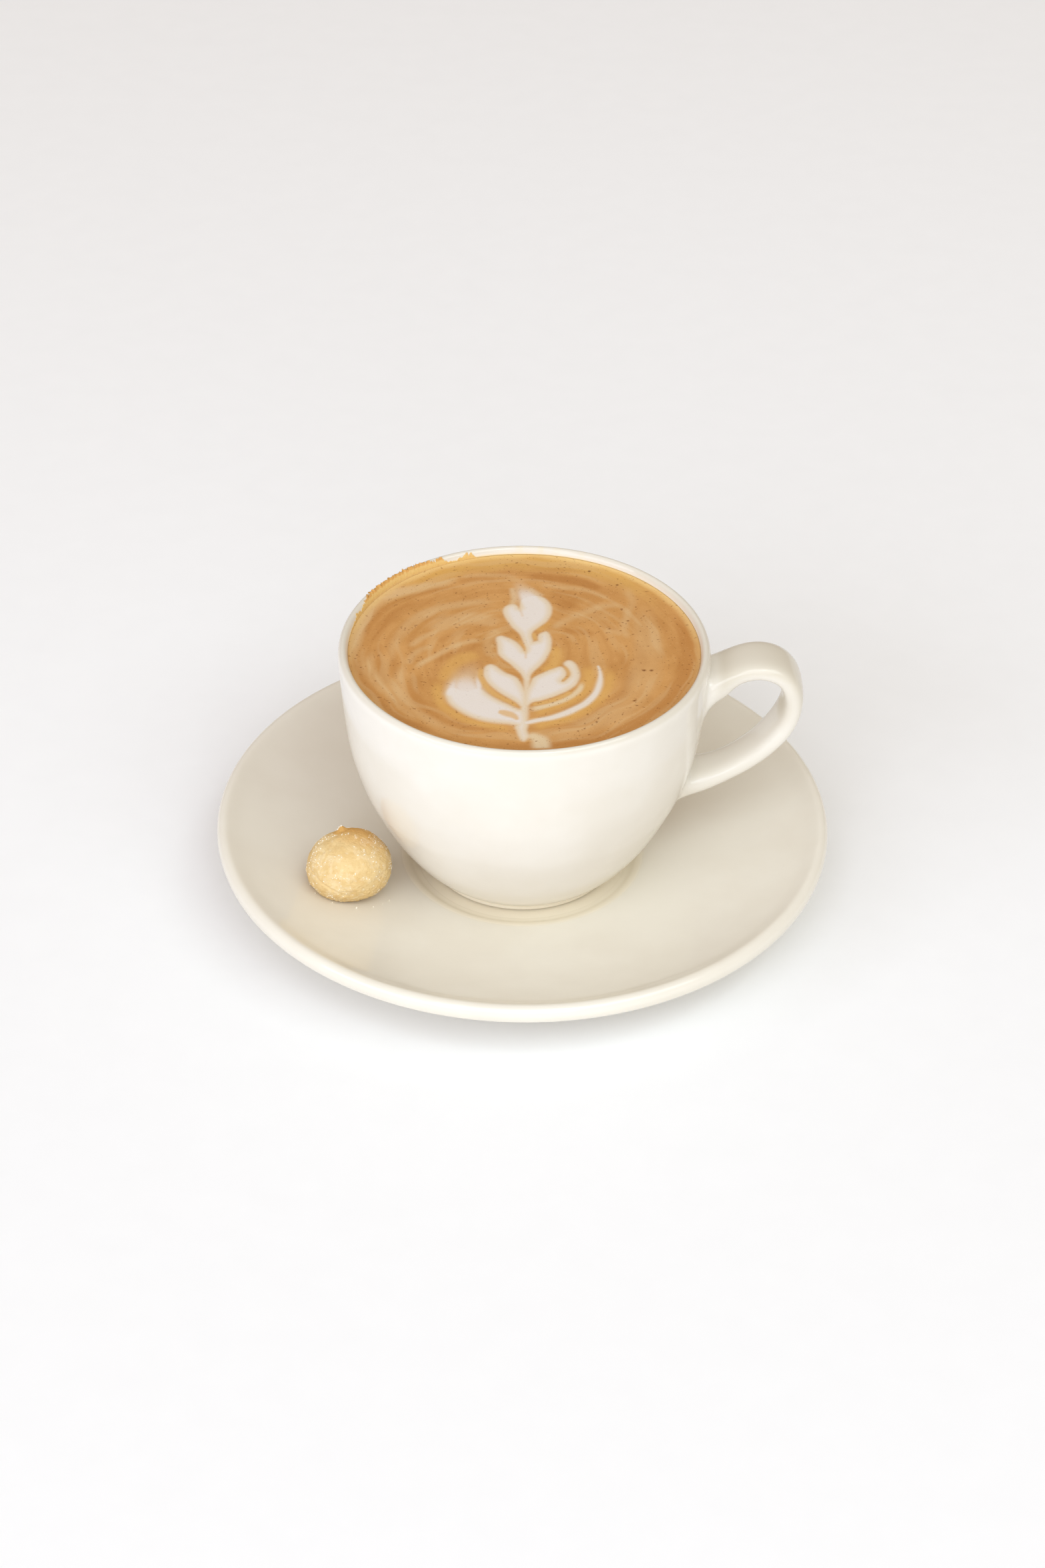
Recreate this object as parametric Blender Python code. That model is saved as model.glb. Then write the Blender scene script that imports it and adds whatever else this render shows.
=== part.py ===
# A latte in a handled cup on its saucer, with one small sugared biscuit beside it.
# Metres, +Z up, standing on the floor at z = 0 with the cup and saucer's axis at the origin.
# The handle points along +X.
import math

import bmesh
import bpy
from mathutils import Vector, noise

# Driving dimensions
SAUCER_RADIUS = 0.080
SAUCER_TOP_Z = 0.0200
FOOT_RING_RADIUS = 0.0450
FOOT_RING_WIDTH = 0.0030
WELL_RADIUS = 0.0324
WELL_FLOOR_Z = 0.0065

CUP_RADIUS = 0.04725
CUP_TOP_Z = 0.0735
CUP_BASE_Z = 0.0068
LIP_WALL = 0.0026
DRINK_Z = 0.0713

STRAP_WIDTH = 0.0134
STRAP_THICK = 0.0046

BISCUIT_X = -0.0446
BISCUIT_Y = -0.0205
BISCUIT_ACROSS = 0.0220
BISCUIT_TALL = 0.0176

GAP = 0.0003
STEPS = 64


for obj in list(bpy.data.objects):
    bpy.data.objects.remove(obj, do_unlink=True)


def material(name, colour, roughness):
    mat = bpy.data.materials.new(name)
    mat.use_nodes = True
    shader = mat.node_tree.nodes["Principled BSDF"]
    shader.inputs["Base Color"].default_value = (*colour, 1.0)
    shader.inputs["Roughness"].default_value = roughness
    shader.inputs["Metallic"].default_value = 0.0
    return mat


def add_object(name, bm, mat):
    mesh = bpy.data.meshes.new(name)
    bmesh.ops.recalc_face_normals(bm, faces=bm.faces[:])
    bm.to_mesh(mesh)
    bm.free()
    mesh.materials.append(mat)
    mesh.shade_smooth()
    mesh.set_sharp_from_angle(angle=math.radians(45))
    obj = bpy.data.objects.new(name, mesh)
    bpy.context.collection.objects.link(obj)
    return obj


def turned(profile):
    """A solid turned about Z from an open profile whose two ends lie on the axis."""
    bm = bmesh.new()
    verts = [bm.verts.new((r, 0.0, z)) for r, z in profile]
    edges = [bm.edges.new(pair) for pair in zip(verts, verts[1:])]
    bmesh.ops.spin(
        bm,
        geom=verts + edges,
        cent=(0.0, 0.0, 0.0),
        axis=(0.0, 0.0, 1.0),
        angle=2.0 * math.pi,
        steps=STEPS,
        use_merge=True,
    )
    bmesh.ops.remove_doubles(bm, verts=bm.verts[:], dist=1e-6)
    return bm


def height_on(profile, radius):
    """Height of a profile at a radius, from points given outside in."""
    for (r0, z0), (r1, z1) in zip(profile, profile[1:]):
        if r1 <= radius <= r0:
            return z1 + (z0 - z1) * (radius - r1) / max(r0 - r1, 1e-9)
    return profile[-1][1]


def arc(cx, cz, rx, rz, start, end, count):
    """Points on an ellipse's arc, with angles in degrees from +X towards +Z."""
    out = []
    for i in range(count + 1):
        a = math.radians(start + (end - start) * i / count)
        out.append((cx + rx * math.cos(a), cz + rz * math.sin(a)))
    return out


glaze = material("ivory_glaze", (0.80, 0.76, 0.66), 0.12)
coffee = material("milk_coffee", (0.56, 0.28, 0.09), 0.35)
pastry = material("baked_pastry", (0.86, 0.66, 0.32), 0.75)


# Saucer: a rounded lip, a dished face, and a shallow sunk well that takes the cup's foot.
# Underneath, a turned foot ring stands on the table.
saucer_face = [
    (0.0750, 0.0186),
    (0.0730, 0.0176),
    (0.0695, 0.0161),
    (0.0650, 0.0145),
    (0.0580, 0.0124),
    (0.0500, 0.0106),
    (0.0420, 0.0091),
    (0.0360, 0.0082),
    (WELL_RADIUS, 0.0077),
]
saucer_well = [
    (WELL_RADIUS - 0.0015, 0.0074),
    (WELL_RADIUS - 0.0033, 0.0068),
    (WELL_RADIUS - 0.0048, WELL_FLOOR_Z),
    (0.0, WELL_FLOOR_Z),
]
ring_out = FOOT_RING_RADIUS
ring_in = FOOT_RING_RADIUS - FOOT_RING_WIDTH
saucer_under = [
    (0.0, 0.0026),
    (ring_in - 0.0012, 0.0026),
    (ring_in, 0.0005),
    (ring_in + 0.0005, 0.0),
    (ring_out - 0.0005, 0.0),
    (ring_out, 0.0005),
    (ring_out + 0.0010, 0.0040),
    (0.0500, 0.0060),
    (0.0560, 0.0077),
    (0.0620, 0.0096),
    (0.0680, 0.0117),
    (0.0735, 0.0137),
    (0.0775, 0.0151),
]
saucer_lip = [
    (0.0791, 0.0159),
    (0.0798, 0.0169),
    (SAUCER_RADIUS, 0.0180),
    (0.0797, 0.0191),
    (0.0789, 0.0198),
    (0.0778, SAUCER_TOP_Z),
    (0.0766, 0.0195),
]
saucer = add_object(
    "saucer",
    turned(saucer_under + saucer_lip + saucer_face + saucer_well),
    glaze,
)


# Cup: a rounded bowl on a low foot, with a lip that narrows to a soft edge.
# The outside runs from the foot to the lip and the inside back down to the centre.
cup_foot = [
    (0.0, 0.0086),
    (0.0205, 0.0086),
    (0.0213, 0.0073),
    (0.0218, CUP_BASE_Z),
    (0.0242, CUP_BASE_Z),
    (0.0247, 0.0073),
    (0.0247, 0.0086),
]
cup_outside = [
    (0.0272, 0.0106),
    (0.0308, 0.0145),
    (0.0350, 0.0205),
    (0.0386, 0.0275),
    (0.0421, 0.0355),
    (0.0446, 0.0445),
    (0.0459, 0.0535),
    (0.0467, 0.0625),
]
lip_half = LIP_WALL / 2.0
lip_rise = 0.0022
cup_lip = arc(CUP_RADIUS - lip_half, CUP_TOP_Z - lip_rise, lip_half, lip_rise, 0, 180, 8)
cup_inside = [
    (0.0438, 0.0625),
    (0.0428, 0.0535),
    (0.0413, 0.0445),
    (0.0385, 0.0355),
    (0.0347, 0.0275),
    (0.0298, 0.0205),
    (0.0245, 0.0160),
    (0.0180, 0.0135),
    (0.0100, 0.0126),
    (0.0, 0.0124),
]
cup = add_object("cup", turned(cup_foot + cup_outside + cup_lip + cup_inside), glaze)


# Handle: a flat ear of soft oval section, swept along the loop from under the lip to
# the lower wall. Both ends widen into the cup's wall and stop inside its thickness.
# Each row is the centre's x and z, the half thickness, and the half width.
half_t = STRAP_THICK / 2.0
half_w = STRAP_WIDTH / 2.0
handle_rows = [
    (0.0451, 0.0628, 0.0051, 0.0079),
    (0.0468, 0.0632, 0.0047, 0.0077),
    (0.0486, 0.0644, 0.0037, 0.0073),
    (0.0509, 0.0665, 0.0028, 0.0069),
    (0.0537, 0.0687, 0.0024, half_w),
    (0.0571, 0.0702, half_t, half_w),
    (0.0607, 0.0704, half_t, half_w),
    (0.0640, 0.0692, half_t, half_w),
    (0.0664, 0.0667, half_t, half_w),
    (0.0680, 0.0632, half_t, half_w),
    (0.0685, 0.0593, half_t, half_w),
    (0.0681, 0.0556, half_t, half_w),
    (0.0668, 0.0520, half_t, half_w),
    (0.0647, 0.0484, half_t, half_w),
    (0.0618, 0.0449, half_t, half_w),
    (0.0584, 0.0418, half_t, half_w),
    (0.0546, 0.0389, half_t, half_w),
    (0.0506, 0.0364, 0.0025, 0.0068),
    (0.0467, 0.0344, 0.0027, 0.0071),
    (0.0430, 0.0331, 0.0031, 0.0075),
    (0.0396, 0.0325, 0.0035, 0.0078),
]


def strap_section(bm, x, z, heading, thick, wide, count=16):
    """One closed loop of the strap, square to its heading in the XZ plane."""
    nx, nz = -math.sin(heading), math.cos(heading)
    ring = []
    for i in range(count):
        a = 2.0 * math.pi * (i + 0.5) / count
        ca, sa = math.cos(a), math.sin(a)
        u = math.copysign(abs(ca) ** (2.0 / 2.6), ca) * wide
        v = math.copysign(abs(sa) ** (2.0 / 2.6), sa) * thick
        ring.append(bm.verts.new((x + nx * v, u, z + nz * v)))
    return ring


bm = bmesh.new()
rings = []
for i, (x, z, thick, wide) in enumerate(handle_rows):
    ahead = handle_rows[min(i + 1, len(handle_rows) - 1)]
    behind = handle_rows[max(i - 1, 0)]
    heading = math.atan2(ahead[1] - behind[1], ahead[0] - behind[0])
    if i == 0:
        heading = 0.0
    if i == len(handle_rows) - 1:
        heading = math.radians(-202.0)
    rings.append(strap_section(bm, x, z, heading, thick, wide))
for ring_a, ring_b in zip(rings, rings[1:]):
    for j in range(len(ring_a)):
        k = (j + 1) % len(ring_a)
        bm.faces.new((ring_a[j], ring_a[k], ring_b[k], ring_b[j]))
bm.faces.new(rings[0])
bm.faces.new(rings[-1])
handle = add_object("handle_tool", bm, glaze)
handle.hide_render = True
handle.display_type = "WIRE"

join = cup.modifiers.new("handle", "BOOLEAN")
join.operation = "UNION"
join.solver = "EXACT"
join.object = handle


# Drink: fills the cup to the level shown, with a hair of clearance to the wall.
lip_inner = (CUP_RADIUS - LIP_WALL, CUP_TOP_Z - lip_rise)
drink_bottom = [(max(r - GAP, 0.0), z + GAP) for r, z in reversed(cup_inside)]
drink = drink_bottom + [
    (lip_inner[0] - GAP, DRINK_Z - 0.0006),
    (lip_inner[0] - 0.0008, DRINK_Z),
    (0.0, DRINK_Z),
]
latte = add_object("latte", turned(drink), coffee)


# Biscuit: a small uneven ball, flat below where it sits on the saucer's sloping face,
# with a blunt nub on top. Soft waves in the radius keep it from being a plain sphere.
bm = bmesh.new()
bmesh.ops.create_icosphere(bm, subdivisions=4, radius=1.0)
centre_z = 0.0183
for v in bm.verts:
    d = v.co.normalized()
    wave = 0.030 * noise.noise(d * 1.7 + Vector((3.1, 0.4, 7.7)))
    wave += 0.016 * noise.noise(d * 4.1 + Vector((1.3, 5.2, 0.6)))
    nub = max(0.0, d.dot(Vector((-0.30, -0.10, 0.95)).normalized())) ** 40 * 0.10
    scale = 1.0 + wave + nub
    x = BISCUIT_X + d.x * scale * BISCUIT_ACROSS * 0.5
    y = BISCUIT_Y + d.y * scale * BISCUIT_ACROSS * 0.48
    z = centre_z + d.z * scale * BISCUIT_TALL * 0.5
    seat = height_on(saucer_face, math.hypot(x, y)) + GAP + 0.0001
    v.co = (x, y, max(z, seat))
biscuit = add_object("biscuit", bm, pastry)
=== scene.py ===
# A latte with a leaf poured in its foam, in an ivory cup on its saucer, with one small
# sugared biscuit. Each section below models one piece, from the table upwards.
import math

import bmesh
import bpy
import numpy as np
from mathutils import Matrix, Vector, noise


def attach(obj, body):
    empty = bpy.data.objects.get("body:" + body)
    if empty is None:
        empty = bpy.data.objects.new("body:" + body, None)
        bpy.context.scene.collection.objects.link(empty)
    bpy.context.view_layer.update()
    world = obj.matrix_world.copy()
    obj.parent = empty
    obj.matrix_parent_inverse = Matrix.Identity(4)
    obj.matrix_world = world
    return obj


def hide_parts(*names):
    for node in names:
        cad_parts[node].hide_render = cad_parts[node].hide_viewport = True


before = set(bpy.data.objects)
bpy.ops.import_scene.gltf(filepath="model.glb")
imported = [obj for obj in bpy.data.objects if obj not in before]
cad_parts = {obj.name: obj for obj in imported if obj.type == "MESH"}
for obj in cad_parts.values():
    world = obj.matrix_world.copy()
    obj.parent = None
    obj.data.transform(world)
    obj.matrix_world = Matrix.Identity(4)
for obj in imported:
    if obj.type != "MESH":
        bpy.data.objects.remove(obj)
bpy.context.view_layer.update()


# Camera, table and lights: a long lens looks down on the cup from the front, with the
# handle to the right. The table is a plain pale sheet, lit by broad soft lamps. Outlines
# and places are written in millimetres, which MM turns into metres.
MM = 0.001
film_height = 36.0
photo_height_px = 2352.0
focal_length_px = 5000.0
camera_data = bpy.data.cameras.new("camera")
camera_data.sensor_fit = "VERTICAL"
camera_data.sensor_height = film_height
camera_data.lens = film_height * focal_length_px / photo_height_px
camera_data.clip_start = 0.01
camera_data.clip_end = 20.0
camera = bpy.data.objects.new("camera", camera_data)
bpy.context.scene.collection.objects.link(camera)
down = math.radians(36.55)
roll = math.radians(0.65)
away = 869.0 * MM
aim_x = -0.1 * MM
aim_z = 29.4 * MM
eye = Vector((aim_x, -away * math.cos(down), aim_z + away * math.sin(down)))
camera.matrix_world = (
    Matrix.Translation(eye)
    @ Matrix.Rotation(math.radians(90.0) - down, 4, "X")
    @ Matrix.Rotation(roll, 4, "Z")
)
bpy.context.scene.camera = camera
bpy.context.scene.view_settings.view_transform = "Standard"
bpy.context.scene.view_settings.look = "None"

world = bpy.data.worlds.new("studio")
world.use_nodes = True
room_light = world.node_tree.nodes["Background"]
room_light.inputs["Color"].default_value = (1.0, 0.83, 0.69, 1.0)
room_light.inputs["Strength"].default_value = 0.47
bpy.context.scene.world = world


def soft_lamp(name, bearing, height, size, power, colour, distance=3.5):
    """A broad lamp facing the cup, at a bearing and a height in degrees, sizes in metres."""
    lamp = bpy.data.lights.new(name, "AREA")
    lamp.shape = "RECTANGLE"
    lamp.size, lamp.size_y = size
    lamp.energy = power
    lamp.color = colour
    holder = bpy.data.objects.new(name, lamp)
    bpy.context.scene.collection.objects.link(holder)
    turn, tip = math.radians(bearing), math.radians(height)
    level = math.cos(tip)
    place = distance * Vector((level * math.cos(turn), level * math.sin(turn), math.sin(tip)))
    aim = (-place).to_track_quat("-Z", "Y")
    holder.matrix_world = Matrix.Translation(place) @ aim.to_matrix().to_4x4()


soft_lamp("window", -135.0, 22.0, (3.2, 1.8), 58.0, (0.75, 0.84, 1.0))
soft_lamp("front_fill", -90.0, 22.0, (2.4, 1.6), 21.5, (0.78, 0.83, 1.0))
soft_lamp("front_high", -97.0, 52.0, (2.4, 1.9), 40.5, (0.80, 0.88, 1.0))
soft_lamp("right_high", -45.0, 50.0, (2.4, 1.9), 40.0, (0.83, 0.96, 1.0))


class Field:
    """A number that varies over a surface; arithmetic on it adds Math nodes."""

    def __init__(self, finish, socket):
        self.finish = finish
        self.socket = socket

    def maths(self, operation, first, second):
        return self.finish.node("ShaderNodeMath", {"operation": operation}, {0: first, 1: second})

    def __add__(self, other):
        return self.maths("ADD", self, other)

    def __radd__(self, other):
        return self.maths("ADD", other, self)

    def __sub__(self, other):
        return self.maths("SUBTRACT", self, other)

    def __rsub__(self, other):
        return self.maths("SUBTRACT", other, self)

    def __mul__(self, other):
        return self.maths("MULTIPLY", self, other)

    def __rmul__(self, other):
        return self.maths("MULTIPLY", other, self)

    def step(self, low, high):
        """Nought below low, one above high, and a smooth climb between them."""
        return self.finish.node(
            "ShaderNodeMapRange",
            {"interpolation_type": "SMOOTHSTEP"},
            {"Value": self, "From Min": low, "From Max": high},
        )


class Finish:
    """A material on one Principled shader, with short ways to reach its textures."""

    def __init__(self, name, **constants):
        self.material = bpy.data.materials.new(name)
        self.material.use_nodes = True
        self.tree = self.material.node_tree
        self.shader = self.tree.nodes["Principled BSDF"]
        for socket, value in constants.items():
            self.shader.inputs[socket.replace("_", " ")].default_value = value
        self.place = self.node("ShaderNodeTexCoord", output="Object")

    def node(self, kind, settings=None, inputs=None, output=0):
        """One output of a new node, after its settings and its sockets' values or links."""
        made = self.tree.nodes.new(kind)
        for name, value in (settings or {}).items():
            setattr(made, name, value)
        for key, value in (inputs or {}).items():
            if isinstance(value, Field):
                self.tree.links.new(value.socket, made.inputs[key])
            else:
                made.inputs[key].default_value = value
        return Field(self, made.outputs[output])

    def clouds(self, scale, detail=2.0, roughness=0.5, stretch=(1.0, 1.0, 1.0)):
        """Soft noise with its scale in lumps per metre, from nought to one."""
        spot = self.node("ShaderNodeMapping", {}, {"Vector": self.place, "Scale": stretch})
        return self.node(
            "ShaderNodeTexNoise",
            {"noise_dimensions": "3D"},
            {"Vector": spot, "Scale": scale, "Detail": detail, "Roughness": roughness},
        )

    def mask(self, name):
        """The amount painted on the piece's vertices under this name."""
        return self.node("ShaderNodeAttribute", {"attribute_name": name}, output="Fac")

    def blend(self, amount, first, second):
        """A colour that goes from first to second as amount goes from nought to one."""
        return self.node(
            "ShaderNodeMix", {"data_type": "RGBA"}, {0: amount, 6: first, 7: second}, output=2
        )

    def feed(self, socket, value):
        self.tree.links.new(value.socket, self.shader.inputs[socket])

    def relief(self, height, depth):
        """Bump from a height field, with its full depth in metres."""
        bump = self.node("ShaderNodeBump", {}, {"Height": height, "Distance": depth})
        self.feed("Normal", bump)


def tint(red, green, blue):
    """A colour as the eye reads it, 0 to 255, turned into the shader's linear light."""
    out = []
    for c in (red, green, blue):
        c = c / 255.0
        out.append(c / 12.92 if c <= 0.04045 else ((c + 0.055) / 1.055) ** 2.4)
    return (*out, 1.0)


def nothing_selected():
    if bpy.context.mode != "OBJECT":
        bpy.ops.object.mode_set(mode="OBJECT")
    bpy.ops.object.select_all(action="DESELECT")


nothing_selected()
bpy.ops.mesh.primitive_grid_add(x_subdivisions=8, y_subdivisions=8, size=8.0)
table = bpy.context.object
table.name = "table"
paper = Finish("table_paper", Roughness=0.9, Specular_IOR_Level=0.1)
fibre = paper.clouds(90.0, 3.0)
paper.feed("Base Color", paper.blend(fibre, tint(246, 246, 245), tint(249, 249, 248)))
paper.relief(fibre, 0.00004)
table.data.materials.append(paper.material)


# Saucer: stoneware shaped on a turning mould, 160 mm across, with a soft rounded lip and a
# sunk well for the cup. It is dipped in ivory glaze, with warm painted shade in the well.
def through(points, closed=False):
    """Points to draw so that the smoothed line runs through the ones wanted.

    Smoothing brings a point to (before + 4 * drawn + after) / 6, which is solved in passes.
    """
    passes = 40
    drawn = [list(p) for p in points]
    last = len(points) - 1
    for _ in range(passes):
        for i, wanted in enumerate(points):
            if not closed and i in (0, last):
                continue
            before, after = drawn[i - 1], drawn[(i + 1) % len(points)]
            drawn[i] = [(6.0 * w - b - a) / 4.0 for w, b, a in zip(wanted, before, after)]
    return drawn


def turned(name, profile, around=64):
    """A disc drawn out ring by ring into a closed turned shell, radius and height in mm.

    Smoothing pulls a ring of so many corners in by its squeeze, so it starts that much wider.
    """
    squeeze = (2.0 + math.cos(2.0 * math.pi / around)) / 3.0
    rings = through(profile)
    nothing_selected()
    bpy.ops.mesh.primitive_circle_add(
        vertices=around,
        radius=MM * rings[0][0] / squeeze,
        fill_type="NGON",
        location=(0.0, 0.0, MM * rings[0][1]),
    )
    piece = bpy.context.object
    piece.name = name
    bpy.ops.object.transform_apply(location=True)
    bpy.ops.object.mode_set(mode="EDIT")
    for (r0, z0), (r1, z1) in zip(rings, rings[1:]):
        rise = {"value": (0.0, 0.0, MM * (z1 - z0))}
        bpy.ops.mesh.extrude_region_move(TRANSFORM_OT_translate=rise)
        bpy.ops.transform.resize(
            value=(r1 / r0, r1 / r0, 1.0), center_override=(0.0, 0.0, MM * z1)
        )
    bpy.ops.mesh.select_all(action="SELECT")
    bpy.ops.mesh.normals_make_consistent(inside=False)
    bpy.ops.object.mode_set(mode="OBJECT")
    return piece


def smoothed(piece, levels):
    nothing_selected()
    piece.select_set(True)
    bpy.context.view_layer.objects.active = piece
    step = piece.modifiers.new("smooth", "SUBSURF")
    step.levels = levels
    step.render_levels = levels
    bpy.ops.object.modifier_apply(modifier="smooth")
    bpy.ops.object.shade_smooth()


saucer_under = [
    (3.0, 2.6),
    (20.0, 2.6),
    (38.0, 2.6),
    (40.8, 2.4),
    (41.8, 1.5),
    (42.2, 0.6),
    (42.7, 0.1),
    (43.5, 0.0),
    (44.3, 0.1),
    (44.8, 0.6),
    (45.2, 2.0),
    (46.3, 4.1),
    (50.0, 6.0),
    (56.0, 7.7),
    (62.0, 9.6),
    (68.0, 11.7),
    (73.5, 13.7),
    (77.5, 15.0),
]
saucer_lip = [
    (79.4, 15.8),
    (79.9, 16.9),
    (80.0, 18.0),
    (79.6, 19.2),
    (78.7, 19.9),
    (77.6, 19.9),
    (76.4, 19.3),
    (75.0, 18.5),
]
saucer_face = [
    (73.0, 17.5),
    (69.5, 16.1),
    (65.0, 14.5),
    (58.0, 12.4),
    (50.0, 10.6),
    (42.0, 9.1),
    (36.0, 8.2),
    (32.4, 7.75),
]
saucer_well = [
    (30.9, 7.5),
    (29.8, 7.15),
    (28.8, 6.75),
    (27.6, 6.55),
    (25.0, 6.5),
    (12.0, 6.5),
    (3.0, 6.5),
]
saucer = turned("saucer_shell", saucer_under + saucer_lip + saucer_face + saucer_well)
smoothed(saucer, levels=2)


def vertex_places(piece, unit=MM):
    """The piece's vertices as an array, in millimetres if no other unit is given."""
    spots = np.empty(len(piece.data.vertices) * 3)
    piece.data.vertices.foreach_get("co", spots)
    return spots.reshape(-1, 3) / unit


def paint(piece, name, amounts):
    """One number for each vertex, kept on the piece for its material to read."""
    layer = piece.data.attributes.new(name, "FLOAT", "POINT")
    layer.data.foreach_set("value", np.asarray(amounts, dtype=np.float32))


def climb(low, high, values):
    """Nought below low, one above high, and a smooth climb between them."""
    t = np.clip((values - low) / (high - low), 0.0, 1.0)
    return t * t * (3.0 - 2.0 * t)


def ivory_glaze(name, body, thin):
    """Glaze over pale clay, with faint cloudy drift in its colour and a soft uneven skin.

    In the saucer's well and round the cup's foot the colour is a warmer cream, painted shade
    of the well, and the glaze is less glossy there. Gives finish and colour.
    """
    glaze = Finish(name, Specular_IOR_Level=0.5, IOR=1.5)
    drift = glaze.clouds(38.0, 3.0, 0.55)
    fine = glaze.clouds(900.0, 2.0, 0.6)
    ripple = glaze.clouds(130.0, 2.0, 0.4)
    foot_well_shade = glaze.mask("foot_well_shade")
    glaze.feed("Roughness", 0.11 + foot_well_shade * 0.35)
    glaze.relief(ripple * 0.85 + fine * 0.15, 0.00007)
    colour = glaze.blend(drift.step(0.32, 0.72), body, thin)
    return glaze, glaze.blend(foot_well_shade * 0.85, colour, tint(240, 230, 207))


# Inside the well's edge the saucer gets warm painted shade and a duller glaze.
well_edge = (32.7, 30.9)
radius = np.hypot(*vertex_places(saucer)[:, :2].T)
paint(saucer, "foot_well_shade", climb(*well_edge, radius))
saucer_glaze, colour = ivory_glaze("saucer_glaze", tint(231, 224, 208), tint(235, 229, 214))

# One dark speck in the glaze, at the back left.
speck_place = (-48.6 * MM, 47.9 * MM, 15.8 * MM)
from_speck = saucer_glaze.node(
    "ShaderNodeVectorMath",
    {"operation": "DISTANCE"},
    {0: saucer_glaze.place, 1: speck_place},
    output=1,
)
speck = from_speck.step(0.55 * MM, 0.25 * MM)
saucer_glaze.feed("Base Color", saucer_glaze.blend(speck, colour, tint(70, 52, 40)))
saucer.data.materials.append(saucer_glaze.material)
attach(saucer, "root")
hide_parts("saucer")


# Cup: a round bowl on a low foot, thrown from the same clay. The handle is a flat strap,
# pressed on while damp, so that its roots spread smoothly into the wall.
cup_foot = [
    (3.0, 8.6),
    (14.0, 8.6),
    (20.2, 8.5),
    (21.3, 7.9),
    (21.8, 7.15),
    (22.4, 6.85),
    (23.2, 6.8),
    (24.0, 6.85),
    (24.5, 7.15),
    (24.7, 7.8),
    (24.9, 8.5),
]
cup_outside = [
    (25.6, 9.1),
    (27.3, 10.6),
    (30.8, 14.5),
    (35.0, 20.6),
    (38.1, 26.4),
    (39.8, 30.0),
    (41.2, 33.2),
    (42.4, 36.6),
    (44.5, 44.2),
    (45.6, 51.0),
    (46.2, 56.8),
    (46.65, 62.0),
    (47.0, 67.2),
    (47.2, 70.2),
]
cup_lip = [
    (47.2, 71.6),
    (46.85, 72.85),
    (45.95, 73.5),
    (45.05, 72.85),
    (44.68, 71.5),
]
cup_inside = [
    (44.5, 69.5),
    (43.8, 62.5),
    (42.8, 53.5),
    (41.3, 44.5),
    (38.5, 35.5),
    (34.7, 27.5),
    (29.8, 20.5),
    (24.5, 16.0),
    (18.0, 13.5),
    (10.0, 12.6),
    (3.0, 12.4),
]
cup = turned("cup_shell", cup_foot + cup_outside + cup_lip + cup_inside)

# Each row is the middle of the strap in x and z, its half thickness and its half width. The
# section is given as shares of the half width and the half thickness.
strap_rows = [
    (48.9, 64.0, 4.1, 7.6),
    (51.0, 65.7, 3.3, 7.2),
    (53.8, 67.6, 2.8, 7.0),
    (57.2, 68.9, 2.7, 7.0),
    (60.8, 69.1, 2.7, 7.0),
    (64.2, 68.0, 2.7, 7.0),
    (66.7, 65.8, 2.7, 6.9),
    (68.2, 62.6, 2.7, 6.9),
    (68.6, 58.9, 2.7, 6.8),
    (68.1, 55.2, 2.7, 6.8),
    (66.6, 51.3, 2.7, 6.7),
    (64.1, 47.3, 2.6, 6.5),
    (60.9, 43.5, 2.5, 6.2),
    (57.0, 40.0, 2.5, 5.9),
    (52.8, 37.1, 2.5, 5.8),
    (48.7, 34.9, 2.7, 6.0),
    (44.9, 33.5, 3.0, 6.6),
]
strap_corner = [(1.0, 0.0), (0.9, 0.62), (0.56, 0.93), (0.0, 1.0)]
strap_top = strap_corner + [(-u, t) for u, t in strap_corner[-2::-1]]
strap_section = strap_top + [(u, -t) for u, t in strap_top[-2:0:-1]]

# Two openings are cut in the wall, each between two of its rings. The strap is drawn out of
# the upper one, and its end is joined to the lower one.
strap_openings = ((56.8, 67.2), (30.0, 36.6))
opening_half_width = 9.0
between_openings = 50.0
least_radius = 38.0
ring_margin = 0.5
bpy.ops.object.mode_set(mode="EDIT")
bpy.ops.mesh.select_mode(type="FACE")
for low, high in strap_openings:
    bpy.ops.mesh.select_all(action="DESELECT")
    shell = bmesh.from_edit_mesh(cup.data)
    for face in shell.faces:
        x, y, z = face.calc_center_median() / MM
        outside = math.hypot(x, y) > least_radius and face.normal.dot(Vector((x, y, 0.0))) > 0.0
        in_width = x > 0.0 and abs(y) < opening_half_width
        in_height = low - ring_margin < z < high + ring_margin
        face.select_set(outside and in_width and in_height)
    bmesh.update_edit_mesh(cup.data)
    bpy.ops.mesh.delete(type="FACE")

# The corners of both openings are numbered round from the same side, so that each corner
# drawn out of the upper one knows its place in the strap's section.
first_upper = 1
first_lower = 101
bpy.ops.mesh.select_mode(type="EDGE")
bpy.ops.mesh.select_all(action="DESELECT")
shell = bmesh.from_edit_mesh(cup.data)
place = shell.verts.layers.int.new("place")
for above in (True, False):
    rim = [v for v in shell.verts if v.is_boundary and (v.co.z > between_openings * MM) == above]
    middle = sum(v.co.z for v in rim) / len(rim)
    rim.sort(key=lambda v: (math.atan2(v.co.z - middle, v.co.y) + 0.01) % (2.0 * math.pi))
    for i, v in enumerate(rim):
        v[place] = i + (first_upper if above else first_lower)
for edge in shell.edges:
    if edge.is_boundary and all(first_upper <= v[place] < first_lower for v in edge.verts):
        edge.select_set(True)
bmesh.update_edit_mesh(cup.data)
section = through(strap_section, closed=True)
rows = through(strap_rows)
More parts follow.
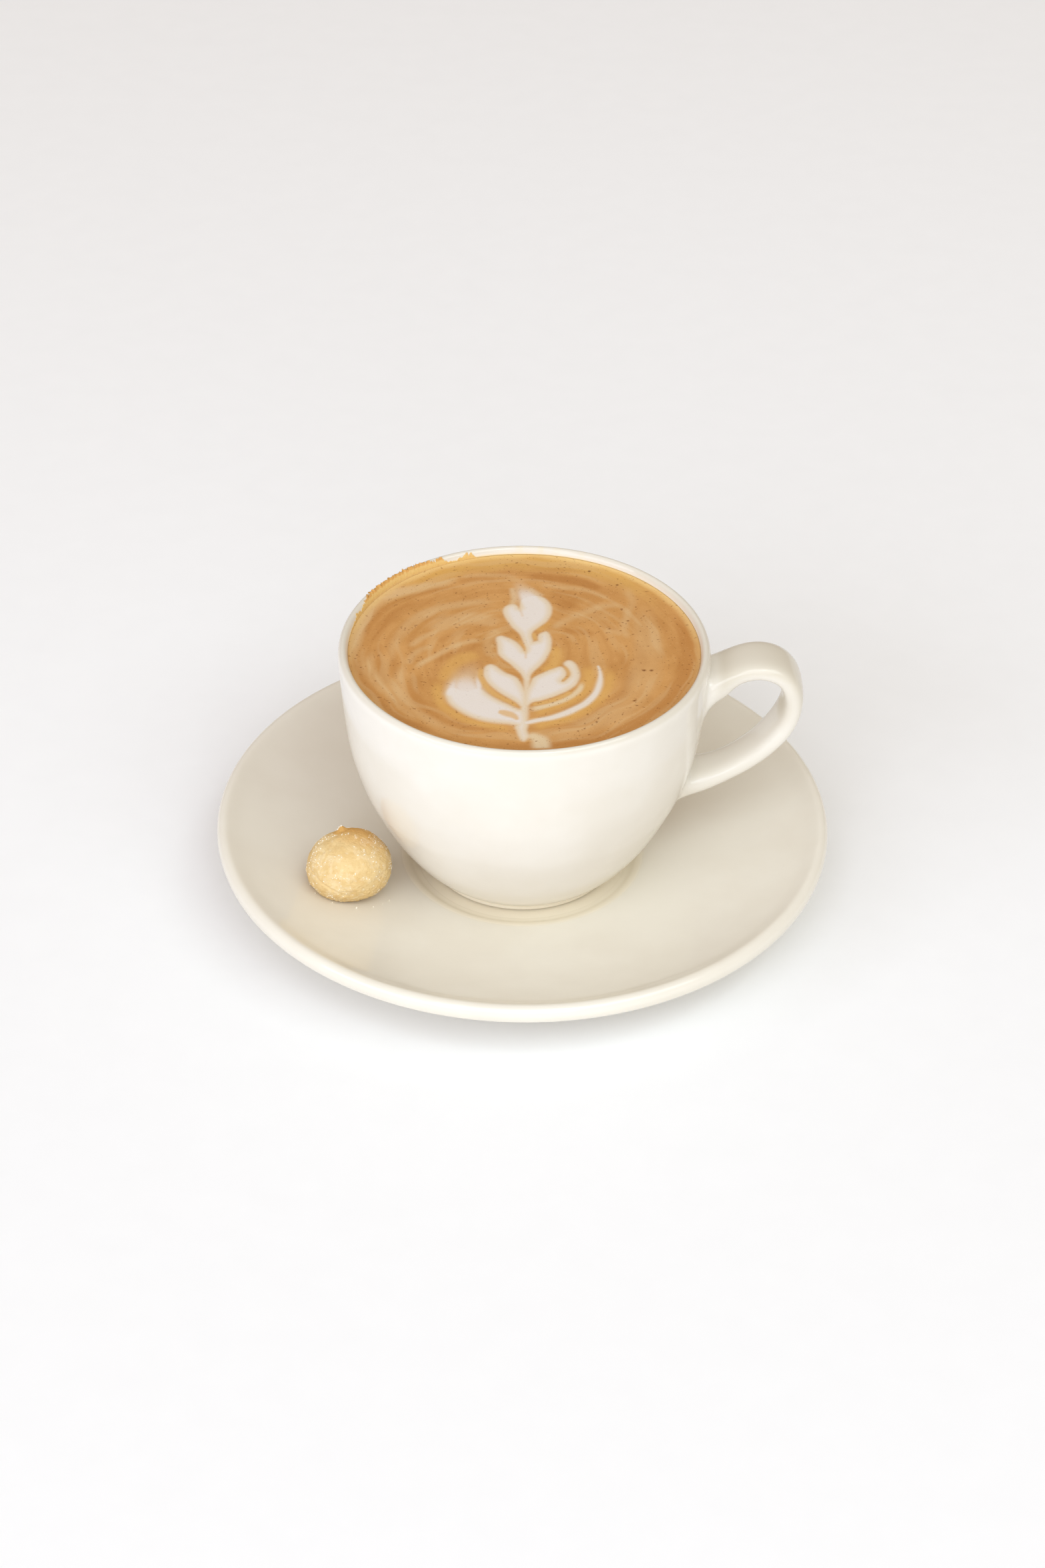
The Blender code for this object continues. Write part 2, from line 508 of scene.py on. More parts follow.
for i, (x, z, thick, wide) in enumerate(rows):
    ahead = rows[min(i + 1, len(rows) - 1)]
    behind = rows[max(i - 1, 0)]
    heading = math.atan2(ahead[1] - behind[1], ahead[0] - behind[0])
    bpy.ops.mesh.extrude_edges_move()
    shell = bmesh.from_edit_mesh(cup.data)
    place = shell.verts.layers.int["place"]
    for v in shell.verts:
        if v.select:
            u, t = section[v[place] - first_upper]
            v.co.x = MM * (x - math.sin(heading) * t * thick)
            v.co.y = MM * u * wide
            v.co.z = MM * (z + math.cos(heading) * t * thick)
    bmesh.update_edit_mesh(cup.data)
for edge in shell.edges:
    if edge.is_boundary and all(v[place] >= first_lower for v in edge.verts):
        edge.select_set(True)
bmesh.update_edit_mesh(cup.data)
bpy.ops.mesh.bridge_edge_loops()
bpy.ops.mesh.select_all(action="SELECT")
bpy.ops.mesh.normals_make_consistent(inside=False)
smoothed(cup, levels=2)

# Milk film on the inside of the lip, highest at the back left where the cup was tipped, and
# stains that dried on the lip at the back, as bearing, half width and strength.
stains = [(92.0, 1.6, 0.40), (85.0, 1.0, 0.5), (79.5, 1.4, 0.35), (71.0, 1.0, 0.4)]
spots = vertex_places(cup)
radius = np.hypot(spots[:, 0], spots[:, 1])
bearing = np.degrees(np.arctan2(spots[:, 1], spots[:, 0]))
inner = climb(46.3, 45.2, radius) * climb(60.0, 66.0, spots[:, 2])
full_to = 71.3
tipped_towards = 120.0
height = spots[:, 2] - full_to
reach = 0.55 + 0.45 * np.cos(np.radians(bearing - tipped_towards))
film = inner * climb(reach + 0.35, reach - 0.8, height)
for side, wide, strong in stains:
    stain = np.exp(-(((bearing - side) / wide) ** 2)) * climb(71.6, 72.6, spots[:, 2])
    film = np.maximum(film, strong * stain)
paint(cup, "film", film)

# Painted shade: the upward faces of the strap and the top of the lip are coloured a shade
# darker and greyer than the rest, and a warmer cream round the foot is painted shade of the
# saucer's well.
upward = np.array([v.normal.z for v in cup.data.vertices])
crown_shade = climb(47.5, 51.0, spots[:, 0]) * climb(50.0, 62.0, spots[:, 2]) * climb(-0.5, 0.4, upward)
crown_shade = np.maximum(crown_shade, 0.7 * climb(71.9, 73.0, spots[:, 2]))
paint(cup, "crown_shade", crown_shade)
paint(cup, "foot_well_shade", climb(11.0, 8.6, spots[:, 2]))

cup_glaze, colour = ivory_glaze("cup_glaze", tint(232, 226, 213), tint(237, 232, 221))
# Painted shade on the strap's top and the lip: a darker, greyer ivory.
colour = cup_glaze.blend(cup_glaze.mask("crown_shade"), colour, tint(217, 209, 191))
patch = cup_glaze.clouds(420.0, 3.0, 0.6)
milky = cup_glaze.mask("film")
wet = (milky + (patch - 0.5) * 0.7 * milky).step(0.08, 0.85)
cup_glaze.feed("Base Color", cup_glaze.blend(wet, colour, tint(233, 213, 168)))
cup.data.materials.append(cup_glaze.material)
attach(cup, "root")
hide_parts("cup")


# Drink: coffee and steamed milk, filled to about 2 mm under the lip. Its brown crema carries
# pale swirls from the pour, and white milk foam lies in it as a stem with four pairs of
# leaves. All of them are painted on the surface's vertices along given lines.
def curve(points, closed=False, cuts=5):
    """A smooth line through given points, as an array of millimetres."""
    p = np.array(points, dtype=float)
    if closed:
        p = np.vstack([p[-1], p, p[0], p[1]])
    else:
        p = np.vstack([2 * p[0] - p[1], p, 2 * p[-1] - p[-2]])
    out = []
    for i in range(1, len(p) - 2):
        for j in range(cuts):
            t = j / cuts
            a = -0.5 * p[i - 1] + 1.5 * p[i] - 1.5 * p[i + 1] + 0.5 * p[i + 2]
            b = p[i - 1] - 2.5 * p[i] + 2.0 * p[i + 1] - 0.5 * p[i + 2]
            c = 0.5 * (p[i + 1] - p[i - 1])
            out.append(((a * t + b) * t + c) * t + p[i])
    out.append(p[-2])
    return np.array(out)


tiny = 1e-12


def nearest(spots, line):
    """Distance from each spot to a line, and how far along the line it is, 0 to 1."""
    best = np.full(len(spots), 1e9)
    along = np.zeros(len(spots))
    count = len(line) - 1
    for i in range(count):
        a, d = line[i], line[i + 1] - line[i]
        t = np.clip(((spots - a) @ d) / max(d @ d, tiny), 0.0, 1.0)
        gap = np.hypot(*(spots - a - t[:, None] * d).T)
        closer = gap < best
        best = np.where(closer, gap, best)
        along = np.where(closer, (i + t) / count, along)
    return best, along


def close_to(line, spots, margin):
    """Which spots lie within a margin of the line's own box."""
    return np.all((spots > line.min(0) - margin) & (spots < line.max(0) + margin), axis=1)


def leaf(spots, outline, soft):
    """How far each spot lies in a closed outline: its cover from nought to one, and depth."""
    line = curve(outline, closed=True)
    near = close_to(line, spots, 3.0)
    part = spots[near]
    gap, _ = nearest(part, line)
    inside = np.zeros(len(part), dtype=bool)
    for (x0, y0), (x1, y1) in zip(line, line[1:]):
        crosses = (y0 > part[:, 1]) != (y1 > part[:, 1])
        rise = y1 - y0 if abs(y1 - y0) > tiny else tiny
        inside ^= crosses & (part[:, 0] < (x1 - x0) * (part[:, 1] - y0) / rise + x0)
    cover = np.zeros(len(spots))
    depth = np.zeros(len(spots))
    cover[near] = climb(-soft, soft, np.where(inside, gap, -gap))
    depth[near] = np.where(inside, gap, 0.0)
    return cover, depth


def streak(spots, points, half, soft=0.8, fade=0.15):
    """A brushed line that is one along its middle and fades at its sides and ends."""
    line = curve(points, cuts=4)
    near = close_to(line, spots, 6.0)
    gap, along = nearest(spots[near], line)
    width = np.interp(along, np.linspace(0, 1, len(half)), half)
    ends = climb(0.0, fade, along) * climb(1.0, 1.0 - fade, along) if fade else 1.0
    out = np.zeros(len(spots))
    out[near] = climb(width + soft, np.maximum(width - soft, 0.0) * 0.6, gap) * ends
    return out


def brushed(spots, strokes, soft, fade):
    """All strokes of one kind, each given by its points, half widths and strength."""
    out = np.zeros(len(spots))
    for points, half, strength in strokes:
        out = np.maximum(out, strength * streak(spots, points, half, soft, fade))
    return out


def place_vertices(piece, spots):
    """Moves the piece's vertices to an array of millimetres."""
    piece.data.vertices.foreach_set("co", (spots * MM).ravel())
    piece.data.update()


# A square grid is drawn out to a disc, so that its faces stay even as far as the wall, where
# the surface climbs in a small meniscus. The sides then go down inside the cup.
drink_radius = 44.75
drink_level = 71.25
meniscus = 0.55
meniscus_width = 1.0
nothing_selected()
bpy.ops.mesh.primitive_grid_add(x_subdivisions=280, y_subdivisions=280, size=2.0)
latte = bpy.context.object
latte.name = "latte_drink"
grid = vertex_places(latte, unit=1.0)
a, b = grid[:, 0], grid[:, 1]
wide = np.abs(a) > np.abs(b)
reach = np.where(wide, a, b)
swing = np.where(
    wide,
    math.pi / 4 * b / np.where(a == 0, 1, a),
    math.pi / 2 - math.pi / 4 * a / np.where(b == 0, 1, b),
)
surface = drink_radius * np.stack([reach * np.cos(swing), reach * np.sin(swing)], axis=1)
from_wall = drink_radius - np.hypot(surface[:, 0], surface[:, 1])
level = drink_level + meniscus * np.exp(-from_wall / meniscus_width)
place_vertices(latte, np.column_stack([surface, level]))
bpy.ops.object.mode_set(mode="EDIT")
bpy.ops.mesh.select_mode(type="EDGE")
bpy.ops.mesh.select_all(action="SELECT")
bpy.ops.mesh.region_to_loop()
sides = [(drink_radius, 71.7), (44.3, 70.9), (43.6, 63.0), (41.0, 45.0), (34.4, 28.0), (17.8, 14.0)]
for (r0, z0), (r1, z1) in zip(sides, sides[1:]):
    drop = {"value": (0.0, 0.0, MM * (z1 - z0))}
    bpy.ops.mesh.extrude_edges_move(TRANSFORM_OT_translate=drop)
    bpy.ops.transform.resize(value=(r1 / r0, r1 / r0, 1.0), center_override=(0.0, 0.0, MM * z1))
bpy.ops.mesh.edge_face_add()
bpy.ops.mesh.select_all(action="SELECT")
bpy.ops.mesh.normals_make_consistent(inside=False)
bpy.ops.object.mode_set(mode="OBJECT")
bpy.ops.object.shade_smooth()

# Each spot is looked up a little off its own place, so that the painted edges waver. This
# kind of noise starts from the clock unless it has a seed.
noise.seed_set(7)
top = vertex_places(latte)
on_top = top[:, 2] > 71.0
spots = top[:, :2].copy()
wander = np.array([noise.noise_vector(Vector((x, y, 0.0)) * 0.22) for x, y in spots])
spots += 0.2 * wander[:, :2]

leaves = [
    # First pair: a small left lobe and the big upper right one.
    [
        (-0.4, 4.8), (-0.9, 6.4), (-1.4, 7.7), (-2.2, 9.1), (-3.0, 10.4), (-3.8, 12.0),
        (-4.5, 13.7), (-5.1, 15.5), (-5.5, 17.5), (-5.5, 19.0), (-5.1, 20.3), (-4.2, 21.1),
        (-3.0, 21.4), (-2.1, 20.9), (-1.5, 19.8), (-1.3, 21.5), (-1.1, 23.4), (-0.2, 24.7),
        (1.2, 25.4), (2.6, 25.7), (4.0, 25.3), (5.2, 24.4), (6.2, 22.9), (6.8, 21.2),
        (7.0, 19.5), (6.9, 17.8), (6.5, 16.0), (5.8, 14.0), (4.9, 12.4), (3.8, 11.0),
        (2.9, 9.9), (2.1, 8.9), (1.9, 7.6), (2.0, 6.2), (2.3, 4.6), (2.2, 2.0), (1.0, 0.5),
        (0.1, 2.4),
    ],
    # Second pair, on either side of the stem.
    [
        (0.1, 3.0), (2.4, 4.4), (3.3, 4.9), (3.4, 6.2), (3.5, 7.3), (4.0, 8.1),
        (4.8, 8.7), (5.6, 9.0), (6.2, 8.3), (6.6, 7.2), (6.9, 5.5), (7.0, 4.0),
        (6.9, 2.0), (6.7, 0.5), (6.3, -1.0), (5.8, -2.8), (5.2, -4.2), (4.4, -5.6),
        (3.6, -6.9), (2.8, -8.2), (2.1, -9.5), (1.7, -11.0), (1.6, -12.8), (0.4, -14.0),
        (-0.1, -12.2), (-0.6, -10.6), (-1.2, -9.3), (-2.1, -8.0), (-3.0, -6.7), (-4.0, -5.4),
        (-5.0, -4.3), (-5.9, -3.0), (-6.5, -1.8), (-6.8, -0.5), (-6.9, 1.0), (-7.0, 3.0),
        (-7.2, 5.0), (-7.0, 6.3), (-6.0, 6.9), (-5.0, 6.5), (-4.0, 5.9), (-3.0, 5.1),
        (-2.0, 4.1), (-1.2, 2.9), (-0.5, 1.5), (0.0, 0.2), (0.2, 1.5),
    ],
    # Third pair, left.
    [
        (0.5, -19.0), (0.0, -17.0), (-0.5, -15.0), (-1.0, -13.5), (-1.5, -12.3),
        (-2.2, -11.4), (-3.2, -10.6), (-4.4, -9.8), (-5.2, -9.0), (-6.2, -8.0),
        (-7.0, -7.0), (-8.0, -6.2), (-8.8, -6.1), (-9.6, -6.8), (-10.1, -8.0),
        (-10.3, -9.5), (-10.3, -11.0), (-9.9, -12.5), (-9.3, -14.0), (-8.4, -15.5),
        (-7.5, -16.8), (-6.5, -18.1), (-5.5, -19.2), (-4.4, -20.2), (-3.3, -21.2),
        (-2.3, -22.2), (-1.5, -23.2), (-0.6, -24.4), (0.6, -23.6),
    ],
    # Third pair, right, with its outer lip curling round.
    [
        (0.3, -18.0), (1.6, -14.0), (2.2, -12.0), (3.2, -10.8), (4.2, -10.0), (5.2, -9.2),
        (6.2, -8.4), (7.2, -7.8), (8.0, -7.2), (8.9, -6.8), (9.6, -7.0), (10.2, -7.9),
        (10.6, -9.2), (10.5, -10.5), (10.0, -11.8), (9.5, -12.9), (9.9, -13.2),
        (10.5, -12.3), (11.2, -11.0), (11.5, -9.8), (11.2, -8.4), (10.6, -7.1),
        (10.0, -6.1), (9.9, -5.3), (10.3, -4.4), (11.0, -3.8), (11.8, -3.9), (12.5, -4.7),
        (13.2, -6.0), (13.7, -7.8), (14.0, -9.5), (13.9, -11.3), (13.5, -13.0),
        (12.8, -14.8), (11.8, -16.2), (10.6, -17.5), (9.4, -18.5), (8.3, -19.3),
        (7.0, -20.2), (5.5, -21.0), (4.0, -21.7), (2.7, -22.1), (1.7, -22.9), (1.0, -24.0),
        (0.0, -23.0),
    ],
    # Fourth pair, left: the broad lowest leaf.
    [
        (0.0, -25.4), (-1.2, -25.3), (-1.9, -24.8), (-2.9, -24.0), (-4.1, -23.0),
        (-5.6, -22.0), (-7.1, -20.7), (-8.3, -19.5), (-9.4, -18.2), (-10.4, -16.9),
        (-11.3, -16.2), (-12.4, -16.4), (-14.0, -17.2), (-15.6, -17.0), (-17.2, -16.2),
        (-18.6, -16.2), (-19.4, -17.2), (-19.7, -18.6), (-19.5, -20.3), (-19.0, -22.2),
        (-18.2, -24.0), (-17.0, -25.7), (-15.5, -27.2), (-14.0, -28.4), (-12.0, -29.6),
        (-10.0, -30.6), (-8.0, -31.2), (-6.0, -31.6), (-4.0, -31.9), (-2.4, -32.4),
        (-0.5, -32.8), (0.8, -31.0), (0.7, -28.0),
    ],
    # Stem, down to its tip near the front wall.
    [
        (0.0, -22.0), (0.9, -24.0), (0.8, -27.0), (0.9, -30.0), (1.2, -32.0), (0.9, -34.0),
        (1.2, -35.6), (1.5, -36.8), (0.9, -38.2), (0.2, -39.0), (-0.6, -38.6),
        (-1.1, -37.4), (-1.5, -36.0), (-1.8, -34.5), (-2.2, -33.2), (-1.5, -31.0),
        (-0.8, -28.0), (-0.8, -25.0),
    ],
]
leaf_softness = (0.5, 0.5, 0.55, 0.5, 0.8, 0.6)
milk = np.zeros(len(spots))
core = np.zeros(len(spots))
for outline, soft in zip(leaves, leaf_softness):
    cover, depth = leaf(spots, outline, soft)
    milk = np.maximum(milk, cover)
    core = np.maximum(core, depth)
core = climb(0.2, 2.4, core)

# Fourth pair, right: a long thin leaf, as a line with its half widths. The spine ties all
# leaves to the stem.
right_leaf = [
    (0.8, -31.1), (3.0, -30.3), (6.0, -29.2), (9.0, -27.9), (11.5, -26.2), (13.5, -24.4),
    (15.3, -22.5), (16.8, -20.2), (17.9, -17.8), (18.7, -15.0), (19.15, -12.3),
    (19.2, -10.0), (19.0, -8.0), (18.6, -6.3),
]
right_half = [0.9, 1.0, 1.15, 1.25, 1.2, 1.15, 1.05, 0.95, 0.7, 0.4, 0.05]
outer = streak(spots, right_leaf, right_half, 0.5, 0.0)
milk = np.maximum(milk, outer)
core = np.maximum(core, 0.7 * climb(0.5, 1.0, outer))
spine = [(0.9, -8.0), (0.7, -14.0), (0.4, -20.0), (0.2, -27.0), (0.0, -33.0)]
milk = np.maximum(milk, 0.92 * streak(spots, spine, [0.8, 0.9, 1.0, 1.0, 1.1], 0.6, 0.1))

# Thin foam, as points, half widths, softness and strength.
veils = [
    # Pale line between the lower right leaves.
    ([(0.6, -25.9), (3.0, -25.0), (6.0, -23.7), (8.0, -22.6), (10.0, -21.2), (12.0, -19.3),
      (13.4, -17.4), (14.2, -15.2), (14.6, -12.6)], [1.1, 0.95, 0.9, 0.85, 0.6], 0.55, 0.9),
    # Threads above the top leaf and to its left.
    ([(4.4, 25.0), (2.6, 26.9), (0.8, 29.2)], [1.0, 0.8, 0.4], 1.0, 0.45),
    ([(-4.0, 19.5), (-2.9, 23.4), (-3.3, 27.0), (-3.6, 29.6)], [0.8, 0.7, 0.5, 0.3], 0.8, 0.5),
    # Blob of thin foam at the front wall, and its link to the stem.
    ([(0.8, -36.2), (2.6, -36.9), (4.0, -38.4), (4.3, -40.4), (4.4, -42.4)],
     [0.9, 1.6, 2.3, 2.4, 2.4], 0.9, 0.85),
]
# Foam that thins out, as points, half widths, softness, and where in y it is gone and full.
trails = [
    # Cream that trails up from the broad leaf, and the wisp above the top leaf.
    ([(-14.0, -19.0), (-14.6, -15.0), (-14.4, -11.0), (-13.6, -7.0), (-12.4, -2.6)],
     [5.0, 4.0, 2.9, 1.9, 0.8], 2.6, (-3.0, -18.0)),
    ([(-18.0, -19.0), (-17.6, -15.0), (-16.4, -11.0), (-15.0, -7.6)],
     [1.4, 1.1, 0.8, 0.4], 1.8, (-6.0, -18.0)),
    ([(-11.4, -17.0), (-11.6, -13.0), (-11.8, -9.0)], [0.8, 1.0, 0.8], 1.2, (-6.0, -16.0)),
    ([(2.2, 21.0), (1.0, 24.6), (-0.2, 27.4), (-1.2, 30.6), (-1.7, 33.4)],
     [3.4, 3.0, 2.4, 1.4, 0.5], 1.5, (34.5, 24.0)),
]
for points, half, soft, (thin, thick) in trails:
    trail = streak(spots, points, half, soft, 0.0) * climb(thin, thick, spots[:, 1])
    milk = np.maximum(milk, 0.94 * trail)
    core = np.maximum(core, climb(0.45, 0.95, trail))

veil = np.zeros(len(spots))
for points, half, soft, strength in veils:
    veil = np.maximum(veil, strength * streak(spots, points, half, soft, 0.16))

# From here on a stroke is given by its points, half widths and strength. Seams of crema
# divide the leaves.
seams = [
    ([(-10.6, -7.0), (-10.9, -9.5), (-10.8, -12.0), (-9.9, -15.0), (-8.2, -18.0),
      (-6.2, -20.1), (-4.2, -21.7), (-2.5, -23.2), (-1.3, -24.6)], [0.5, 0.8, 0.8, 0.7, 0.3], 0.9),
    ([(1.8, -23.4), (3.6, -22.9), (5.6, -22.2), (8.0, -20.9), (10.2, -19.2), (12.0, -17.4)],
     [0.5, 0.7, 0.7, 0.6], 1.0),
    ([(9.8, -6.5), (10.8, -8.3), (11.0, -10.2), (10.2, -12.0), (9.2, -13.6)],
     [0.4, 0.4, 0.35, 0.15], 0.6),
    ([(-6.6, -26.6), (-5.0, -27.0), (-3.5, -27.7), (-2.2, -28.8), (-1.3, -30.4)],
     [0.5, 1.3, 1.5, 1.0, 0.3], 0.75),
    ([(-1.6, 5.2), (-0.6, 3.2), (0.1, 1.4), (0.4, -1.0), (0.45, -4.0)],
     [0.3, 0.35, 0.3, 0.15], 0.4),
    ([(-1.7, 20.0), (-1.1, 18.0), (-0.6, 15.5)], [0.35, 0.3, 0.15], 0.3),
    ([(2.3, 8.4), (2.5, 6.8), (2.9, 5.2)], [0.5, 0.5, 0.3], 0.9),
]
seam = brushed(spots, seams, 0.4, 0.1)

# Pale swirls of milk in the crema.
pale_streaks = [
    ([(-42.6, -9), (-43.2, -3), (-43.0, 3), (-42.4, 9), (-41.3, 14), (-39.6, 18), (-37.8, 21.5),
      (-36, 23.7), (-34, 25.5), (-31, 27.3), (-28, 28.6), (-25, 29.8), (-22, 30.8), (-19, 32.5),
      (-17, 33.8)], [1.3, 1.5, 1.6, 2.2, 1.5, 0.7], 0.8),
    ([(-33.5, -8), (-33.5, 0), (-32.5, 5), (-30.5, 10), (-28, 14.5), (-25, 17.3), (-21.5, 19.5),
      (-18, 20.7), (-14, 21.8), (-10, 22.4), (-6.5, 22.2)], [0.7, 1.1, 1.5, 1.5, 1.0], 0.5),
    ([(-25, 8), (-21, 11.7), (-17, 14), (-13, 14.7), (-9, 13.6), (-6, 11.8)],
     [1.2, 2.6, 3.0, 2.6, 1.6], 0.6),
    ([(-29.5, 1), (-27, 4.5), (-24.5, 7), (-21.5, 9.5), (-18.5, 10.8)], [0.4, 0.6, 0.6, 0.4], 0.6),
    ([(-27.8, -9), (-25.5, -5.5), (-23, -3), (-20.5, -0.5), (-18, 1.8), (-15.5, 3.5),
      (-13, 4.4), (-10.5, 4.3)], [0.4, 0.5, 0.5, 0.6], 0.8),
    ([(-29, -7), (-28.5, -3), (-26, 0.5), (-23, 2.0)], [0.5, 0.8, 0.5], 0.4),
    ([(-31, -6), (-31.5, -12), (-31.5, -17), (-30.3, -21), (-28, -25.3), (-25, -28.8),
      (-21, -32.3), (-16, -35.3), (-10, -37.6)], [0.8, 1.3, 1.3, 1.2, 0.8], 0.5),
    ([(-38.3, 1), (-39, -5), (-38.5, -9), (-37, -13), (-35, -17), (-33, -20.5), (-31, -24),
      (-28, -28), (-25, -31)], [0.7, 1.0, 0.6, 0.6, 0.5], 0.55),
    ([(-40.5, 2), (-41, -3), (-40.2, -8), (-38.5, -12.5), (-36.3, -16.5), (-33.5, -21)],
     [0.4, 0.5, 0.5, 0.4], 0.35),
    ([(-17, 34.4), (-14, 34.9), (-10, 35.1), (-5, 34.9), (-1.5, 33.6)], [0.5, 0.6, 0.6, 0.5], 0.4),
    ([(3, 30.6), (6, 30.4), (9, 29.8), (12.5, 29.5), (15.5, 28.6), (18.5, 27), (20.5, 25.5),
      (22, 24.3)], [0.4, 0.7, 0.5, 0.5], 0.5),
    ([(7.6, 9.5), (8.5, 12), (11, 14.5), (14, 17), (17.5, 19.3), (20, 21), (22.5, 21.4),
      (24, 19.5)], [0.8, 1.2, 1.4, 0.9], 0.5),
    ([(12, 15), (17, 16.2), (22, 17)], [1.8, 2.4, 1.8], 0.18),
    ([(26.3, 31), (27, 27), (27.8, 24), (27.4, 21), (26.5, 18.5), (26.3, 16), (25.8, 13.5),
      (25.4, 10.5), (25.9, 8), (26.8, 5)], [0.8, 1.0, 0.8, 0.9, 0.6], 0.52),
    ([(20, 9.9), (23, 9.4), (25, 8)], [0.6, 1.0, 0.7], 0.4),
    ([(30, 24), (31, 12), (31.3, 0), (30, -10), (28, -18), (24, -25), (18, -31), (10, -36),
      (3, -38.5)], [2.5, 4.0, 4.4, 4.0, 3.0, 1.4], 0.36),
    ([(33.2, 1.4), (34, -1), (34.5, -3.5)], [0.35, 0.4, 0.2], 0.35),
    ([(-6, 9.5), (-8, 7.5), (-9.2, 4), (-9, 0), (-8, -3)], [1.6, 1.3, 1.2, 1.0], 0.5),
]
pale = 1.05 * brushed(spots, pale_streaks, 1.1, 0.14)

# Darker swirls between them, and painted shade along the front wall, where the cup's wall shades
# the crema.
dark_swirls_and_wall_shade = [
    ([(-41, 3), (-40.6, 8), (-39.3, 13), (-36.5, 18), (-34, 21), (-31, 23.5), (-28, 25.7),
      (-25, 27.3), (-22, 28.5), (-18, 29.8)], [1.0, 1.5, 1.0, 1.0, 0.6], 0.75),
    ([(-38.5, 2), (-37.5, 8), (-35, 14), (-31, 18.5), (-27, 21.5), (-22, 23.5)],
     [1.8, 2.2, 1.8, 1.4], 0.5),
    ([(-22.5, 3.5), (-19.5, 6), (-16.5, 8.2), (-13, 9)], [0.7, 1.3, 1.2, 0.7], 0.45),
    ([(-23, -6), (-19.5, -2.5), (-15.8, 0.4), (-12.2, 2.4), (-9.6, 2.2)],
     [1.0, 1.3, 1.3, 1.2, 0.8], 0.5),
    ([(-26.5, -9), (-27.5, -14), (-27.5, -18), (-26.5, -22), (-24.5, -26), (-21, -29.5),
      (-16, -32.3), (-10, -33.9), (-4, -34.5)], [0.9, 1.7, 1.6, 1.2, 1.0], 0.6),
    ([(-36.8, 4), (-36.8, -2), (-36.3, -8), (-35.3, -12), (-33.6, -16)], [0.7, 1.0, 0.8, 0.5], 0.5),
    ([(-33, -3), (-33, -9), (-32.2, -13)], [0.6, 0.9, 0.5], 0.35),
    ([(-18, 31), (-14.5, 33), (-11.5, 33.5), (-7, 32.5)], [0.8, 1.4, 1.2, 0.8], 0.45),
    ([(-0.8, 34), (4, 34.4), (8, 33.6), (12, 33), (15, 32), (17.5, 30.5), (20, 28.4)],
     [1.6, 1.8, 1.6, 1.3], 0.9),
    ([(6, 28), (11, 25), (10.5, 21), (8.8, 17)], [1.6, 3.4, 2.6, 1.2], 0.55),
    ([(14, 27), (18, 25), (20.5, 23)], [1.5, 1.5, 0.8], 0.35),
    ([(9.3, 9.6), (12, 9.2), (15, 9), (18.5, 8)], [1.1, 1.4, 1.2, 0.7], 0.6),
    ([(19.5, 14.5), (21.5, 11.5), (24.3, 9.9)], [0.8, 1.0, 0.5], 0.4),
    ([(22, 3), (25, -3), (26, -9), (25.6, -15), (24, -20), (21, -25), (17, -29), (12, -32),
      (6, -34)], [1.0, 1.3, 1.5, 1.5, 1.2], 0.55),
    # Painted shade of the cup's wall on the crema, round the front.
    ([(38, 19), (40, 13), (41.3, 6), (41.5, -2), (40.5, -10), (38, -17), (34, -23.5),
      (29, -29.5), (22, -35.5), (14, -39), (4, -41.5), (-6, -41.5), (-15, -39)],
     [1.6, 2.6, 2.8, 2.4, 2.2, 1.8], 0.85),
    ([(-20, -37.5), (-30, -30), (-37, -20.5), (-41, -11), (-42.5, -3)],
     [1.3, 1.3, 1.2, 0.9, 0.5], 0.5),
    ([(-27, 13), (-23, 14.8), (-20, 15)], [0.7, 1.0, 0.5], 0.4),
]
brown = brushed(spots, dark_swirls_and_wall_shade, 1.0, 0.14)

# Golden crema that lines the leaves.
halos = [
    ([(-21, -12), (-21.4, -18), (-20.3, -23.5), (-17, -27.8), (-12, -31.3), (-6, -33.1),
      (-3, -34.5)], [1.3, 1.3, 1.2, 1.0, 0.9], 0.7),
    ([(20.8, -6), (21.3, -12), (19.6, -19), (16, -24.6), (11, -29), (5, -31.8), (2.2, -33.6)],
     [1.2, 1.4, 1.3, 1.2, 1.2], 0.75),
    ([(15.6, -5), (16.4, -10), (15.8, -15), (13.5, -19.5), (10, -23), (5, -26), (1.8, -28)],
     [1.6, 1.8, 1.5, 1.2, 0.8], 0.7),
    ([(-20.5, -15), (-18.8, -8.5), (-15.6, -3.6), (-11, -1.5)], [1.4, 2.2, 2.4, 1.6], 0.6),
    ([(7.6, 3), (8.2, -2), (7, -6.5), (4.2, -9)], [1.2, 1.6, 1.6, 1.2], 0.75),
    ([(2.6, 9.5), (4.4, 10.6), (6.4, 13.6)], [1.0, 1.0, 0.8], 0.5),
]
halo = brushed(spots, halos, 1.2, 0.15)

